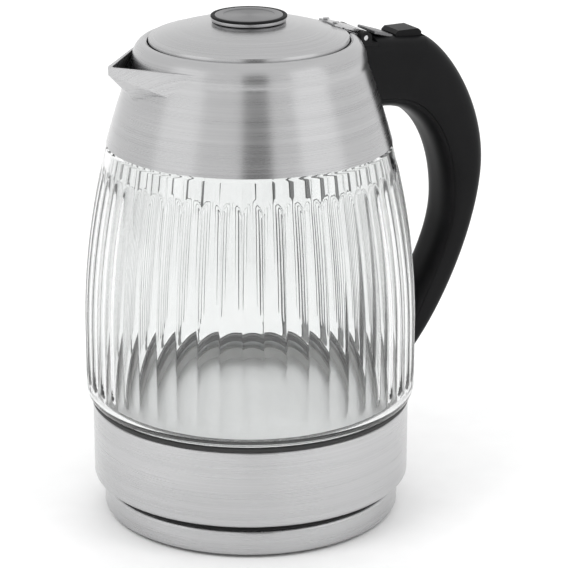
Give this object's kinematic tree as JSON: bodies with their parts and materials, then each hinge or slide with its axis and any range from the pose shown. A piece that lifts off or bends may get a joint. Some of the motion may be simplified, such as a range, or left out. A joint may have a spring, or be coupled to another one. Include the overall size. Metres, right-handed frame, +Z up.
{
  "type": "electric kettle",
  "caption": "Cordless glass electric kettle: lifts off and turns on a round power base; hinged lid, spout, loop handle and thumb switch.",
  "frame": {"origin": "centre of the power base's underside, on the kettle's turning axis", "axes": "+Z up the kettle's axis; +X towards the handle; -X towards the spout"},
  "size_m": [0.1982, 0.154, 0.2363],
  "materials": {
    "brushed_steel": "brushed round the axis",
    "plate_steel": "satin",
    "dark_metal": "satin, darker",
    "fastener_steel": "plated",
    "element_steel": "heat-darkened",
    "spreader_aluminium": "matt",
    "contact_brass": "bright",
    "black_plastic": "fine texture",
    "handle_plastic": "satin",
    "control_plastic": "matt",
    "lead_insulation": "silicone sleeve",
    "foot_rubber": "matt",
    "seal_rubber": "matt",
    "lid_silicone": "translucent silicone",
    "clear_glass": "clear, fluted"
  },
  "bodies": {
    "power_base": {"base_ring": "brushed_steel", "base_top_plate": "black_plastic", "base_bottom_cover": "black_plastic", "base_feet": "foot_rubber", "base_screws": "fastener_steel", "connector_body": "black_plastic", "connector_contacts": "contact_brass", "cord_gland": "seal_rubber"},
    "connector_shutter": {"slot_shutter": "black_plastic"},
    "kettle": {"steel_band": "brushed_steel", "bottom_cover": "black_plastic", "bottom_screws": "fastener_steel", "plug_housing": "black_plastic", "plug_contacts": "contact_brass", "control_unit": "control_plastic", "control_screws": "fastener_steel", "bimetal_discs": "contact_brass", "heating_element": "element_steel", "element_pins": "fastener_steel", "heat_spreader": "spreader_aluminium", "heating_plate": "plate_steel", "plate_clamp_ring": "black_plastic", "jar_seal": "lid_silicone", "seam_ring": "seal_rubber", "glass_jar": "clear_glass", "neck_seal": "seal_rubber", "collar": "brushed_steel", "collar_liner": "black_plastic", "filter_frame": "black_plastic", "filter_mesh": "plate_steel", "hinge_block": "black_plastic", "hinge_pin": "fastener_steel", "handle_shell": "handle_plastic", "handle_cover": "handle_plastic", "handle_top_plate": "dark_metal", "handle_screws": "fastener_steel", "switch_block": "control_plastic", "switch_contacts": "contact_brass", "switch_pivot": "fastener_steel", "steam_bimetal": "contact_brass", "steam_duct": "black_plastic", "switch_leads": "lead_insulation"},
    "lid": {"lid_shell": "brushed_steel", "lid_pan": "black_plastic", "lid_seal": "lid_silicone", "lid_hinge_leaf": "plate_steel", "hinge_rivets": "fastener_steel", "knob_base": "plate_steel", "knob_cap": "black_plastic", "knob_disc": "dark_metal", "knob_screw": "fastener_steel"},
    "switch": {"switch_rocker": "handle_plastic"}
  },
  "joints": [
    {"name": "kettle_turn", "type": "hinge", "parent": "power_base", "child": "connector_shutter", "pos_m": [0, 0, 0.0125], "axis": [0, 0, 1], "continuous": true},
    {"name": "kettle_lift", "type": "slide", "parent": "connector_shutter", "child": "kettle", "axis": [0, 0, 1], "range_m": [0, 0.06]},
    {"name": "lid_hinge", "type": "hinge", "parent": "kettle", "child": "lid", "pos_m": [0.0542, 0, 0.2218], "axis": [0, 1, 0], "range_deg": [0, 85]},
    {"name": "power_switch", "type": "hinge", "parent": "kettle", "child": "switch", "pos_m": [0.0797, 0, 0.2142], "axis": [0, 1, 0], "range_deg": [0, 10]}
  ]
}
